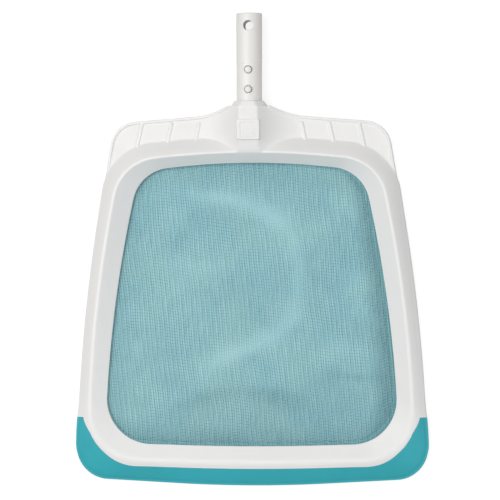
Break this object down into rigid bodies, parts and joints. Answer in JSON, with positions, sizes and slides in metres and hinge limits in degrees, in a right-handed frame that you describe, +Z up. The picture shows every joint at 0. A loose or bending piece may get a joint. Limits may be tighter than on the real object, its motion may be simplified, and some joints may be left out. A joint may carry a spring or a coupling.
{
  "type": "leaf skimmer net",
  "caption": "Flat pool leaf skimmer: ridged ring frame with winged yoke, slack net, soft scoop lip and a tube spigot with lock buttons.",
  "frame": {"origin": "on the ground under the middle of the whole object's box, with the object lying on its back", "axes": "+X across, +Y along the tube towards the pole, +Z up out of the net's mouth"},
  "size_m": [0.3904, 0.5244, 0.0374],
  "materials": {
    "white_plastic": "injection-moulded white plastic, satin to gloss",
    "tube_plastic": "extruded white plastic, satin",
    "button_plastic": "moulded white plastic, worn smooth",
    "retainer_plastic": "extruded white plastic, matte",
    "cord_plastic": "solid plastic cord, matte",
    "teal_elastomer": "soft moulded elastomer, satin",
    "net_cloth": "fine woven mesh",
    "hem_cloth": "doubled mesh, sewn flat",
    "stainless_steel": "stainless steel, plain",
    "spring_steel": "cold-rolled spring strip"
  },
  "bodies": {
    "root": {"frame_shell": "white_plastic", "yoke_cover": "white_plastic", "cover_screws": "stainless_steel", "tube_screws": "stainless_steel", "handle_tube": "tube_plastic", "scoop_lip": "teal_elastomer", "net": "net_cloth", "net_hem": "hem_cloth", "hem_cord": "cord_plastic", "retainer_top_left": "retainer_plastic", "retainer_top_right": "retainer_plastic", "retainer_left": "retainer_plastic", "retainer_right": "retainer_plastic", "retainer_bottom_left": "retainer_plastic", "retainer_bottom_right": "retainer_plastic", "upper_clip": "spring_steel", "lower_clip": "spring_steel"},
    "upper_front_lock": {"upper_front_button": "button_plastic"},
    "upper_rear_lock": {"upper_rear_button": "button_plastic"},
    "lower_front_lock": {"lower_front_button": "button_plastic"},
    "lower_rear_lock": {"lower_rear_button": "button_plastic"}
  },
  "joints": [
    {"name": "upper_front_press", "type": "slide", "parent": "root", "child": "upper_front_lock", "axis": [0, 0, -1], "range_m": [0, 0.004], "stiffness_N_per_m": 800, "springref_m": -0.003, "deforming": ["upper_clip"]},
    {"name": "upper_rear_press", "type": "slide", "parent": "root", "child": "upper_rear_lock", "axis": [0, 0, 1], "range_m": [0, 0.004], "stiffness_N_per_m": 800, "springref_m": -0.003, "deforming": ["upper_clip"]},
    {"name": "lower_front_press", "type": "slide", "parent": "root", "child": "lower_front_lock", "axis": [0, 0, -1], "range_m": [0, 0.004], "stiffness_N_per_m": 800, "springref_m": -0.003, "deforming": ["lower_clip"]},
    {"name": "lower_rear_press", "type": "slide", "parent": "root", "child": "lower_rear_lock", "axis": [0, 0, 1], "range_m": [0, 0.004], "stiffness_N_per_m": 800, "springref_m": -0.003, "deforming": ["lower_clip"]}
  ]
}
